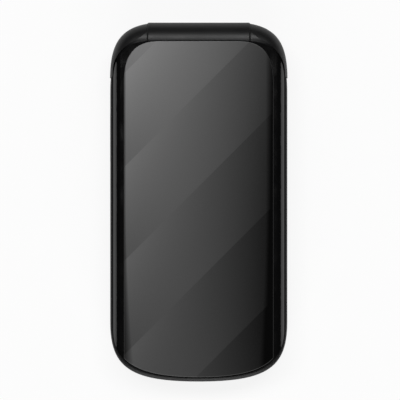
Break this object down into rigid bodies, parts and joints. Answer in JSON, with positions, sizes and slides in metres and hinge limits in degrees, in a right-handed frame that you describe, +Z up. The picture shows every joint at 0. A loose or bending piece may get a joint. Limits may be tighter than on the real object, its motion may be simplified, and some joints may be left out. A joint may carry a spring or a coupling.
{
  "type": "clamshell mobile phone",
  "caption": "Clamshell mobile phone with a glossy dark lid panel, a round hinge barrel between shoulders, a keypad, an inner display and a removable battery.",
  "frame": {"origin": "middle of the closed phone's outline, on the flat back that it lies on", "axes": "+X across the phone, +Y along it towards the hinge, +Z up out of the lid's outer face"},
  "size_m": [0.0521, 0.1053, 0.0186],
  "materials": {
    "satin_shell": "satin moulded plastic, near black",
    "cover_plastic": "fine matt grain, near black",
    "gloss_panel": "clear glossy face over a grey patterned film",
    "key_metal": "fine brushed lacquer",
    "key_plastic": "semi-gloss with printed digits",
    "window": "black backed clear gloss",
    "display": "display glass",
    "battery_label": "aluminium can in a plain wrapper",
    "gold_contact": "gold plated",
    "screw_steel": "zinc plated",
    "soft_rubber": "matt",
    "circuit_board": "green solder mask",
    "shield_tin": "tinned sheet",
    "module_black": "moulded",
    "heavy_metal": "sintered",
    "magnet_metal": "nickel plated",
    "clear_film": "milky film over steel domes",
    "hinge_steel": "turned",
    "flex_film": "amber film"
  },
  "bodies": {
    "base": {"rear_housing": "satin_shell", "front_housing": "satin_shell", "battery_cover": "cover_plastic", "battery": "battery_label", "battery_contacts": "gold_contact", "base_screws": "screw_steel", "screw_caps": "soft_rubber", "main_board": "circuit_board", "shield_can": "shield_tin", "sim_reader": "shield_tin", "camera_module": "module_black", "camera_window": "window", "loudspeaker": "module_black", "vibration_motor": "shield_tin", "headset_jack": "module_black", "usb_connector": "shield_tin", "microphone": "soft_rubber", "antenna": "module_black", "key_plate": "key_metal", "dome_sheet": "clear_film", "hinge_cam": "hinge_steel", "hinge_tube": "module_black"},
    "lid": {"lid_inner_housing": "satin_shell", "lid_outer_shell": "satin_shell", "lid_front_panel": "gloss_panel", "display_window": "window", "display_module": "display", "lid_board": "circuit_board", "earpiece": "module_black", "earpiece_mesh": "shield_tin", "lid_magnet": "magnet_metal", "lid_bumpers": "soft_rubber", "lid_screws": "screw_steel", "hinge_sleeve": "hinge_steel", "hinge_follower": "hinge_steel", "hinge_spring": "hinge_steel", "hinge_flex": "flex_film"},
    "key_1": {"key_1": "key_plastic"},
    "key_2": {"key_2": "key_plastic"},
    "key_3": {"key_3": "key_plastic"},
    "key_4": {"key_4": "key_plastic"},
    "key_5": {"key_5": "key_plastic"},
    "key_6": {"key_6": "key_plastic"},
    "key_7": {"key_7": "key_plastic"},
    "key_8": {"key_8": "key_plastic"},
    "key_9": {"key_9": "key_plastic"},
    "key_star": {"key_star": "key_plastic"},
    "key_0": {"key_0": "key_plastic"},
    "key_hash": {"key_hash": "key_plastic"},
    "soft_left_key": {"soft_left_key": "key_plastic"},
    "soft_right_key": {"soft_right_key": "key_plastic"},
    "call_key": {"call_key": "key_plastic"},
    "end_key": {"end_key": "key_plastic"},
    "ok_key": {"ok_key": "key_plastic"},
    "nav_up_key": {"nav_up_key": "key_plastic"},
    "nav_left_key": {"nav_left_key": "key_plastic"},
    "nav_down_key": {"nav_down_key": "key_plastic"},
    "nav_right_key": {"nav_right_key": "key_plastic"},
    "volume_rocker": {"volume_rocker": "satin_shell"},
    "vibration_weight": {"vibration_weight": "heavy_metal"}
  },
  "joints": [
    {"name": "lid_hinge", "type": "hinge", "parent": "base", "child": "lid", "pos_m": [0, 0.04765, 0.0117], "axis": [-1, 0, 0], "range_deg": [0, 160]},
    {"name": "key_1_press", "type": "slide", "parent": "base", "child": "key_1", "axis": [0, 0, -1], "range_m": [0, 0.0003], "stiffness_N_per_m": 400, "springref_m": -0.0005},
    {"name": "key_2_press", "type": "slide", "parent": "base", "child": "key_2", "axis": [0, 0, -1], "range_m": [0, 0.0003], "stiffness_N_per_m": 400, "springref_m": -0.0005},
    {"name": "key_3_press", "type": "slide", "parent": "base", "child": "key_3", "axis": [0, 0, -1], "range_m": [0, 0.0003], "stiffness_N_per_m": 400, "springref_m": -0.0005},
    {"name": "key_4_press", "type": "slide", "parent": "base", "child": "key_4", "axis": [0, 0, -1], "range_m": [0, 0.0003], "stiffness_N_per_m": 400, "springref_m": -0.0005},
    {"name": "key_5_press", "type": "slide", "parent": "base", "child": "key_5", "axis": [0, 0, -1], "range_m": [0, 0.0003], "stiffness_N_per_m": 400, "springref_m": -0.0005},
    {"name": "key_6_press", "type": "slide", "parent": "base", "child": "key_6", "axis": [0, 0, -1], "range_m": [0, 0.0003], "stiffness_N_per_m": 400, "springref_m": -0.0005},
    {"name": "key_7_press", "type": "slide", "parent": "base", "child": "key_7", "axis": [0, 0, -1], "range_m": [0, 0.0003], "stiffness_N_per_m": 400, "springref_m": -0.0005},
    {"name": "key_8_press", "type": "slide", "parent": "base", "child": "key_8", "axis": [0, 0, -1], "range_m": [0, 0.0003], "stiffness_N_per_m": 400, "springref_m": -0.0005},
    {"name": "key_9_press", "type": "slide", "parent": "base", "child": "key_9", "axis": [0, 0, -1], "range_m": [0, 0.0003], "stiffness_N_per_m": 400, "springref_m": -0.0005},
    {"name": "key_star_press", "type": "slide", "parent": "base", "child": "key_star", "axis": [0, 0, -1], "range_m": [0, 0.0003], "stiffness_N_per_m": 400, "springref_m": -0.0005},
    {"name": "key_0_press", "type": "slide", "parent": "base", "child": "key_0", "axis": [0, 0, -1], "range_m": [0, 0.0003], "stiffness_N_per_m": 400, "springref_m": -0.0005},
    {"name": "key_hash_press", "type": "slide", "parent": "base", "child": "key_hash", "axis": [0, 0, -1], "range_m": [0, 0.0003], "stiffness_N_per_m": 400, "springref_m": -0.0005},
    {"name": "soft_left_key_press", "type": "slide", "parent": "base", "child": "soft_left_key", "axis": [0, 0, -1], "range_m": [0, 0.0003], "stiffness_N_per_m": 400, "springref_m": -0.0005},
    {"name": "soft_right_key_press", "type": "slide", "parent": "base", "child": "soft_right_key", "axis": [0, 0, -1], "range_m": [0, 0.0003], "stiffness_N_per_m": 400, "springref_m": -0.0005},
    {"name": "call_key_press", "type": "slide", "parent": "base", "child": "call_key", "axis": [0, 0, -1], "range_m": [0, 0.0003], "stiffness_N_per_m": 400, "springref_m": -0.0005},
    {"name": "end_key_press", "type": "slide", "parent": "base", "child": "end_key", "axis": [0, 0, -1], "range_m": [0, 0.0003], "stiffness_N_per_m": 400, "springref_m": -0.0005},
    {"name": "ok_key_press", "type": "slide", "parent": "base", "child": "ok_key", "axis": [0, 0, -1], "range_m": [0, 0.0003], "stiffness_N_per_m": 400, "springref_m": -0.0005},
    {"name": "nav_up_key_press", "type": "slide", "parent": "base", "child": "nav_up_key", "axis": [0, 0, -1], "range_m": [0, 0.0003], "stiffness_N_per_m": 400, "springref_m": -0.0005},
    {"name": "nav_left_key_press", "type": "slide", "parent": "base", "child": "nav_left_key", "axis": [0, 0, -1], "range_m": [0, 0.0003], "stiffness_N_per_m": 400, "springref_m": -0.0005},
    {"name": "nav_down_key_press", "type": "slide", "parent": "base", "child": "nav_down_key", "axis": [0, 0, -1], "range_m": [0, 0.0003], "stiffness_N_per_m": 400, "springref_m": -0.0005},
    {"name": "nav_right_key_press", "type": "slide", "parent": "base", "child": "nav_right_key", "axis": [0, 0, -1], "range_m": [0, 0.0003], "stiffness_N_per_m": 400, "springref_m": -0.0005},
    {"name": "volume_rock", "type": "hinge", "parent": "base", "child": "volume_rocker", "pos_m": [-0.02537, 0.019, 0.0045], "axis": [0, 0, 1], "range_deg": [-2, 2], "stiffness_Nm_per_rad": 0.02},
    {"name": "vibration_spin", "type": "hinge", "parent": "base", "child": "vibration_weight", "pos_m": [-0.0162, 0.0335, 0.0045], "axis": [-1, 0, 0], "continuous": true}
  ]
}
